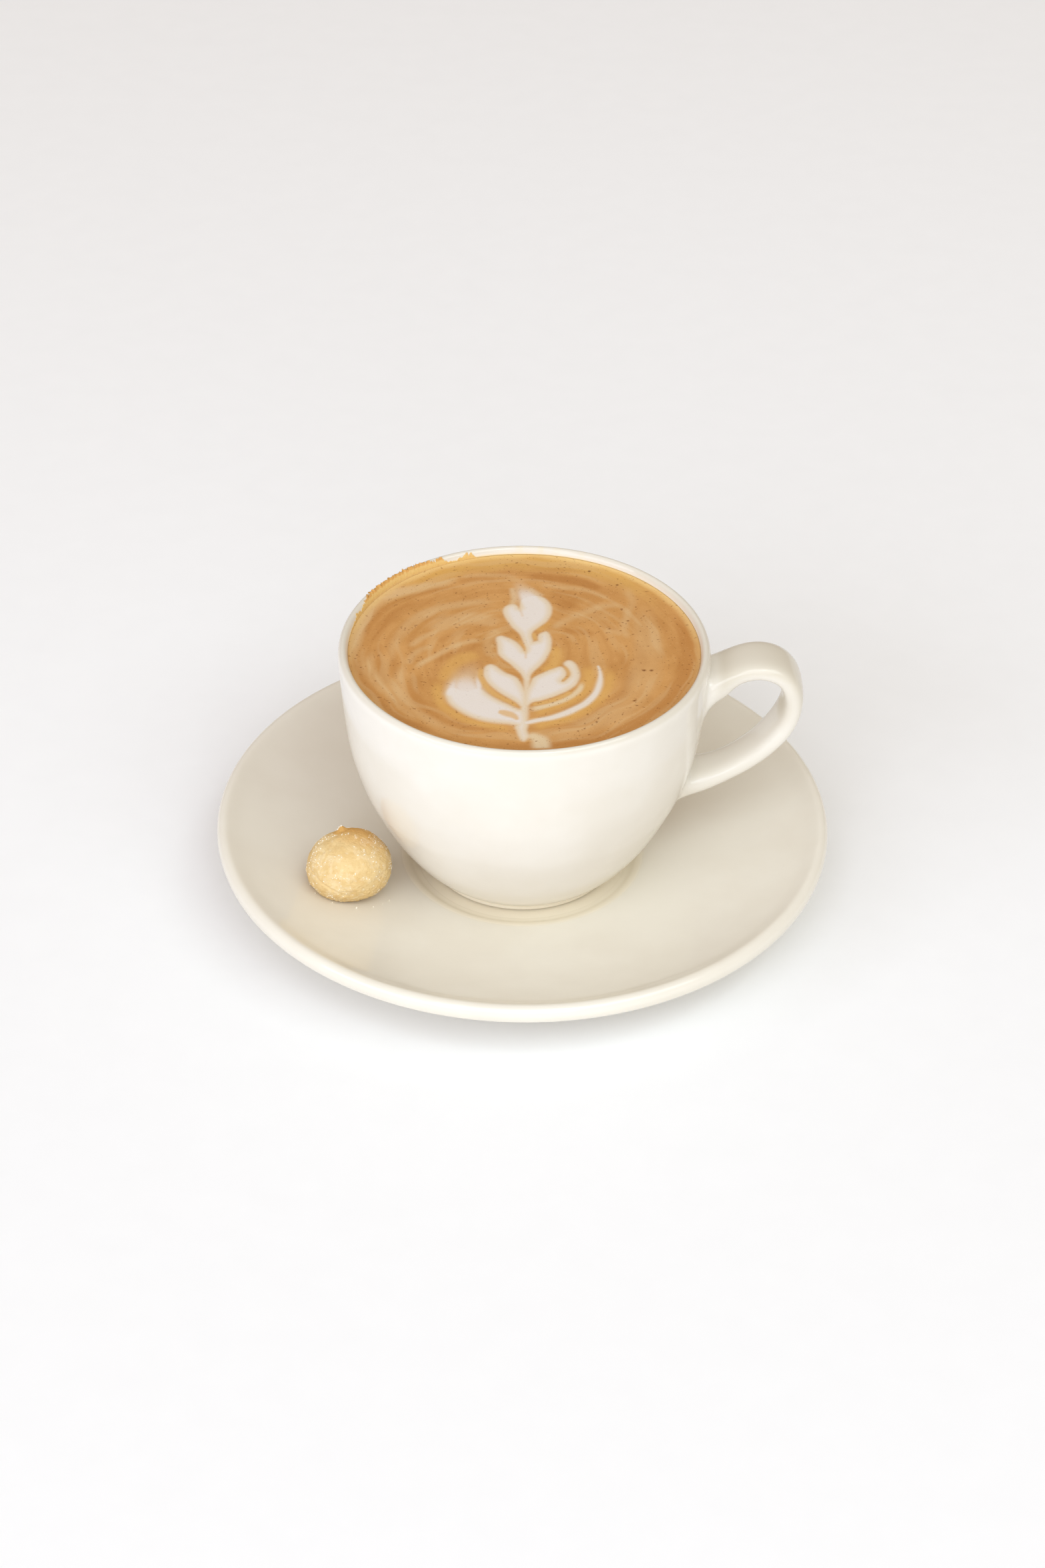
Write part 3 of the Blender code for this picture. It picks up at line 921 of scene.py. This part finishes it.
# Bubbles that broke the crema, as x, y and radius.
bubbles = [
    (30.2, -7.8, 0.60), (32.0, -7.8, 0.60), (27.5, -21.1, 0.55), (28.0, -23.2, 0.35),
    (26.4, -24.3, 0.28), (15.8, -27.2, 0.35), (18.4, -28.8, 0.35), (18.0, -30.4, 0.40),
    (15.1, -31.2, 0.30), (15.0, -33.3, 0.32), (13.4, -34.4, 0.32), (16.9, -31.7, 0.28),
    (21.7, 10.7, 0.36), (26.5, 14.5, 0.40), (27.7, 8.3, 0.30), (31.4, 3.0, 0.30),
    (24.0, 31.2, 0.50), (16.8, 37.6, 0.55), (-18.2, 3.3, 0.32), (-19.7, 0.8, 0.30),
    (-26.0, -3.0, 0.30), (-27.8, -8.5, 0.26), (-35.2, 1.5, 0.32), (-14.2, 4.7, 0.28),
    (-31.6, 10.4, 0.28), (14.0, 1.5, 0.26), (33.9, 6.0, 0.26), (-17.4, -32.6, 0.30),
    (-41.0, -8.0, 0.34), (24.4, -27.0, 0.28), (22.5, -30.2, 0.26), (11.0, 6.6, 0.28),
    (-37.2, -13.9, 0.26), (-33.3, -23.2, 0.26), (-23.0, -29.8, 0.26), (19.4, 11.8, 0.24),
    (38.5, -14.3, 0.26), (41.5, 12.6, 0.30), (32.2, 19.4, 0.26), (24.5, 9.9, 0.28),
]
pits = np.zeros(len(spots))
for x, y, r in bubbles:
    pits = np.maximum(pits, climb(r, r * 0.35, np.hypot(top[:, 0] - x, top[:, 1] - y)))

# A pale ring of milk lies along the wall, strongest at the back, and golden crema inside it.
from_edge = drink_radius - np.hypot(top[:, 0], top[:, 1])
backward = np.sin(np.arctan2(top[:, 1], top[:, 0]))
ring = climb(2.2, 0.2, from_edge + 0.5 * wander[:, 1]) * (0.25 + 0.75 * climb(-0.3, 0.5, backward))
yellow = climb(9.0, 2.0, from_edge + 1.5 * wander[:, 0]) * climb(0.35, 0.9, backward)

# Fine marbling that the pour swept round, drawn out along circles about one point.
swirl_centre = np.array((-2.0, -2.0))
from_swirl = spots - swirl_centre
swept = np.hypot(from_swirl[:, 0], from_swirl[:, 1])
turned_by = np.arctan2(from_swirl[:, 1], from_swirl[:, 0])
drift = np.array([noise.noise(Vector((x * 0.09, y * 0.09, 4.0))) for x, y in spots])
flow = np.empty(len(spots))
for i, (r, t) in enumerate(zip(swept + 2.2 * drift, turned_by)):
    across, around = r * 0.42, Vector((math.cos(t), math.sin(t), 0.0)) * 1.6
    flow[i] = noise.noise(around + Vector((0.0, 0.0, across)))
    flow[i] += 0.6 * noise.noise(around * 1.7 + Vector((5.0, 3.0, across * 2.6)))
pale = np.clip(pale * (0.85 + 0.6 * drift) + 0.34 * climb(0.08, 0.6, flow), 0.0, 1.0)
brown = np.clip(brown + 0.34 * climb(0.08, 0.6, -flow), 0.0, 1.0)
for name, amounts in (
    ("milk", milk), ("veil", veil), ("seam", seam), ("pale", pale), ("brown", brown),
    ("halo", halo), ("pits", pits), ("ring", ring), ("yellow", yellow), ("core", core),
):
    paint(latte, name, amounts * on_top)
pit_depth = 0.10
foam_height = 0.05
top[:, 2] -= pit_depth * pits * on_top
top[:, 2] += foam_height * milk * on_top
place_vertices(latte, top)

crema = Finish("milk_coffee", Specular_IOR_Level=0.35, IOR=1.38)
swirl = crema.clouds(120.0, 4.0, 0.6)
froth = crema.clouds(2600.0, 2.0, 0.6)
colour = crema.blend(swirl.step(0.3, 0.7), tint(198, 143, 79), tint(209, 155, 91))
colour = crema.blend(crema.mask("yellow") * 0.8, colour, tint(215, 168, 90))
colour = crema.blend(crema.mask("brown") * 0.85, colour, tint(184, 125, 62))
colour = crema.blend(crema.mask("pale"), colour, tint(216, 178, 126))
colour = crema.blend(crema.mask("halo"), colour, tint(219, 169, 92))
colour = crema.blend(crema.mask("veil"), colour, tint(226, 204, 165))
depth = crema.mask("core") * (0.75 + swirl * 0.5)
foam = crema.blend(depth, tint(225, 205, 174), tint(229, 219, 208))
colour = crema.blend(crema.mask("milk"), colour, foam)
colour = crema.blend(crema.mask("seam"), colour, tint(218, 171, 102))
colour = crema.blend(crema.mask("ring") * 0.7, colour, tint(228, 194, 130))
bare = 1.0 - crema.mask("milk") * 0.85
dots = crema.clouds(1300.0, 1.0, 0.5).step(0.67, 0.74) * 0.58 * bare
specks = froth.step(0.58, 0.78) * 0.30 * bare
colour = crema.blend(specks, colour, tint(158, 100, 46))
colour = crema.blend(dots, colour, tint(134, 80, 34))
glints = crema.clouds(1900.0, 1.0, 0.5, (1.0, 1.6, 1.0)).step(0.66, 0.78) * 0.30 * bare
colour = crema.blend(glints, colour, tint(236, 190, 124))
colour = crema.blend(crema.mask("pits") * 0.9, colour, tint(118, 66, 24))
crema.feed("Base Color", colour)
crema.feed("Roughness", 0.42 + crema.mask("milk") * 0.15 + froth * 0.1)
crema.relief(froth * 0.6 + swirl * 0.4, 0.00006)
latte.data.materials.append(crema.material)
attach(latte, "root")
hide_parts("latte")


# Dried foam on the lip: where the cup was tipped at the back left, a thin crust of crema
# runs up over the lip, browned and bubbly along its outer edge. It is a grid wrapped round
# the lip's oval section, from inside the cup outwards.
crust_middle = 143.0
crust_half = 43.0
starts_at = 204.0
section_r, section_z = 45.95, 71.45
section_half_r, section_half_z = 1.27, 2.05
nothing_selected()
bpy.ops.mesh.primitive_grid_add(x_subdivisions=340, y_subdivisions=34, size=2.0)
crust = bpy.context.object
crust.name = "foam_crust"
grid = vertex_places(crust, unit=1.0)
bearing = crust_middle - crust_half * grid[:, 0]
across = (grid[:, 1] + 1.0) / 2.0

# By bearing, how many degrees of the section the crust covers. Noise gives it ragged teeth.
reach_by_bearing = [
    (100, 20), (106, 22), (108.5, 74), (110, 90), (112, 60), (114, 40), (117, 46), (119, 96),
    (120.5, 108), (122, 84), (124, 110), (127, 118), (132, 122), (140, 124), (147, 122),
    (152, 116), (154, 100), (157, 76), (160, 60), (162.5, 82), (165, 52), (170, 44),
    (176, 36), (182, 28), (186, 18),
]
reach = np.interp(bearing, *zip(*reach_by_bearing))
teeth = 1.2 * np.array([noise.noise(Vector((d * 0.9, 2.0, 0.0))) for d in bearing])
teeth += 1.1 * np.array([noise.noise(Vector((d * 2.3, 7.0, 0.0))) for d in bearing])
reach = np.clip(reach + 25.0 * teeth * climb(20.0, 90.0, reach), 12.0, 182.0)
lean = np.radians(starts_at - reach * across)
lumps = np.empty(len(grid))
for i, (d, a) in enumerate(zip(bearing, across)):
    coarse = noise.noise(Vector((d * 1.3, a * 5.0, 1.0)))
    lumps[i] = coarse + 0.7 * noise.noise(Vector((d * 3.4, a * 11.0, 3.0)))
border = climb(1.0, 0.93, across) * climb(1.0, 0.97, np.abs(grid[:, 0]))
browned = climb(0.52, 0.86, across) * climb(70.0, 120.0, reach)
bead = climb(0.72, 0.94, across) * climb(70.0, 120.0, reach)
proud = 0.05 + 0.04 * lumps + bead * (0.10 + 0.62 * np.abs(lumps))
rise = -0.12 + border * (0.12 + np.maximum(proud, 0.02))
r = section_r + (section_half_r + rise) * np.cos(lean)
z = section_z + (section_half_z + rise) * np.sin(lean)
turn = np.radians(bearing)
place_vertices(crust, np.column_stack([r * np.cos(turn), r * np.sin(turn), z]))
paint(crust, "browned", browned)
paint(crust, "across", across)
bpy.ops.object.mode_set(mode="EDIT")
bpy.ops.mesh.select_all(action="SELECT")
bpy.ops.mesh.normals_make_consistent(inside=False)
bpy.ops.object.mode_set(mode="OBJECT")
wall = crust.modifiers.new("wall", "SOLIDIFY")
wall.thickness = 0.12 * MM
wall.offset = -1.0
bpy.ops.object.modifier_apply(modifier="wall")
bpy.ops.object.shade_smooth()

dried = Finish("dried_crema", Specular_IOR_Level=0.3)
grain = dried.clouds(1500.0, 3.0, 0.65)
lace = dried.clouds(420.0, 3.0, 0.6)
far = dried.mask("across")
colour = dried.blend(far.step(0.12, 0.45), tint(222, 186, 130), tint(226, 188, 116))
toasted = (dried.mask("browned") + lace * 0.6).step(0.45, 1.05)
colour = dried.blend(toasted, colour, tint(216, 163, 88))
colour = dried.blend(grain.step(0.52, 0.78) * 0.4, colour, tint(186, 126, 58))
dried.feed("Base Color", colour)
dried.feed("Roughness", 0.4 + grain * 0.3)
dried.relief(grain * 0.5 + lace * 0.5, 0.00015)
crust.data.materials.append(dried.material)
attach(crust, "root")


# Biscuit: a hand-rolled ball of short dough, baked pale with a golden top. Sugar clings
# to it in patches, and it lies on its flattened base on the saucer's slope.
biscuit_centre = (-44.6, -20.5, 18.2)
biscuit_half = (11.0, 10.6, 8.8)
seat_gap = 0.05
nothing_selected()
bpy.ops.mesh.primitive_ico_sphere_add(subdivisions=7, radius=1.0)
biscuit = bpy.context.object
biscuit.name = "biscuit_ball"
face_line = np.array(saucer_face[::-1])
ball = vertex_places(biscuit, unit=1.0)
shaped = np.empty_like(ball)
sugar = np.empty(len(ball))
baked = np.empty(len(ball))
nub = Vector((-0.17, 0.48, 0.86)).normalized()
brow = Vector((0.30, 0.45, 0.84)).normalized()
fold = Vector((0.52, 0.20, 0.83)).normalized()
for i, d in enumerate(ball):
    v = Vector(d).normalized()
    wave = 0.030 * noise.noise(v * 1.7 + Vector((3.1, 0.4, 7.7)))
    wave += 0.020 * noise.noise(v * 4.3 + Vector((1.3, 5.2, 0.6)))
    grit = noise.noise(v * 13.0) * 0.009 + noise.noise(v * 31.0) * 0.008
    grit += noise.noise(v * 64.0) * 0.005
    grit *= 1.0 + 1.5 * max(0.0, -v.z)
    lean = -0.12 * v.z * max(0.0, -v.x) + 0.07 * max(0.0, -v.z) * max(0.0, v.x)
    crease = math.exp(-(((v.dot(fold) + 0.42 + 0.05 * wave) / 0.035) ** 2))
    crease *= max(0.0, -v.x) * max(0.0, -v.y) * 0.07
    tip = max(0.0, v.dot(nub)) ** 220 * 0.13
    patch = 0.9 * noise.noise(v * 2.6 + Vector((9.0, 2.0, 4.0))) + noise.noise(v * 9.0)
    sugar[i] = max(0.0, min(1.0, (patch + 0.02) * 3.0))
    baked[i] = max(0.0, v.dot(brow)) + 1.2 * max(0.0, v.dot(nub)) ** 60
    bulge = 1.0 + wave + grit + lean - crease + tip
    shaped[i] = [c + n * bulge * half for c, n, half in zip(biscuit_centre, v, biscuit_half)]
resting = np.interp(np.hypot(shaped[:, 0], shaped[:, 1]), face_line[:, 0], face_line[:, 1])
shaped[:, 2] = np.maximum(shaped[:, 2], resting + seat_gap)
place_vertices(biscuit, shaped)
bpy.ops.object.shade_smooth()
paint(biscuit, "sugar", sugar)
paint(biscuit, "baked", baked)

dough = Finish("baked_dough", Specular_IOR_Level=0.2, Roughness=0.85)
crumbs = dough.clouds(1500.0, 3.0, 0.65)
mottle = dough.clouds(300.0, 3.0, 0.6)
colour = dough.blend(mottle.step(0.3, 0.7), tint(223, 190, 130), tint(230, 202, 147))
gold = (dough.mask("baked") + mottle * 0.5).step(0.85, 1.35)
colour = dough.blend(gold, colour, tint(218, 170, 98))
colour = dough.blend(crumbs.step(0.52, 0.8) * 0.4, colour, tint(206, 152, 82))
dust = (dough.mask("sugar") * 0.5 + crumbs * 0.7).step(0.55, 0.8)
colour = dough.blend(dust * 0.2, colour, tint(244, 228, 194))
dough.feed("Base Color", colour)
dough.relief(crumbs * 0.7 + mottle * 0.3, 0.0003)
biscuit.data.materials.append(dough.material)
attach(biscuit, "root")
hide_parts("biscuit")


# Sugar: coarse crystals caught on the dough while it was damp, most of them in patches and
# three large ones on its nub, and a few grains that fell on the saucer round its foot.
def scattered(name, kernel, places, sizes, seed):
    """Copies of one small shape, turned at random, joined in one mesh."""
    nothing_selected()
    kernel.select_set(True)
    bpy.context.view_layer.objects.active = kernel
    corners = [v.co.copy() for v in kernel.data.vertices]
    sides = [tuple(p.vertices) for p in kernel.data.polygons]
    chance = np.random.default_rng(seed)
    verts = []
    faces = []
    for place, big in zip(places, sizes):
        spin = Matrix.Rotation(chance.uniform(0.0, 6.28), 3, Vector(chance.normal(size=3)))
        squash = Vector(chance.uniform(0.6, 1.1, 3))
        first = len(verts)
        verts += [Vector(place) * MM + spin @ (c * squash) * big * MM for c in corners]
        faces += [[first + k for k in side] for side in sides]
    made = bpy.data.meshes.new(name)
    made.from_pydata(verts, [], faces)
    kernel.data = made
    kernel.name = name
    return kernel


crystal_count = 460
on_nub = [0, 30, 80]
chance = np.random.default_rng(11)
outward = np.array([v.normal for v in biscuit.data.vertices])
free = (shaped[:, 2] > resting + 0.9) & (outward[:, 2] > -0.75)
weight = free * (0.03 + sugar**2)
picked = chance.choice(len(shaped), crystal_count, replace=False, p=weight / weight.sum())
picked[: len(on_nub)] = np.argsort(-(ball @ np.array(nub)))[on_nub]
sizes = chance.uniform(0.11, 0.30, crystal_count)
sizes[: len(on_nub)] = 0.55
nothing_selected()
bpy.ops.mesh.primitive_cube_add(size=1.0)
crystal = bpy.context.object
bpy.ops.object.mode_set(mode="EDIT")
bpy.ops.mesh.bevel(offset=0.16, segments=1, affect="EDGES")
bpy.ops.object.mode_set(mode="OBJECT")
crystals = scattered(
    "sugar_crystals",
    crystal,
    shaped[picked] + outward[picked] * 0.03,
    sizes,
    5,
)
sweet = Finish("sugar_crystal", Specular_IOR_Level=0.5)
frost = sweet.clouds(2500.0, 2.0)
sweet.feed("Base Color", sweet.blend(frost, tint(250, 238, 208), tint(254, 250, 238)))
sweet.feed("Roughness", 0.25 + frost * 0.3)
crystals.data.materials.append(sweet.material)
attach(crystals, "root")

# The fallen grains lie on the saucer's face, at these bearings and distances from the middle
# of the biscuit.
fallen_round = [(214, 10.3), (246, 9.8), (283, 9.9), (309, 10.2), (326, 10.6), (341, 11.0)]
half_grain = 0.12
fallen = []
for angle, away in fallen_round:
    x = biscuit_centre[0] + away * math.cos(math.radians(angle))
    y = biscuit_centre[1] + away * 0.93 * math.sin(math.radians(angle))
    floor = np.interp(math.hypot(x, y), face_line[:, 0], face_line[:, 1])
    fallen.append((x, y, floor + half_grain))
nothing_selected()
bpy.ops.mesh.primitive_ico_sphere_add(subdivisions=2, radius=0.5)
bit = bpy.context.object
bpy.ops.object.mode_set(mode="EDIT")
bpy.ops.transform.vertex_random(offset=0.09, seed=3)
bpy.ops.object.mode_set(mode="OBJECT")
bits = scattered("fallen_sugar", bit, fallen, chance.uniform(0.3, 0.55, len(fallen)), 8)
bits.data.materials.append(sweet.material)
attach(bits, "root")
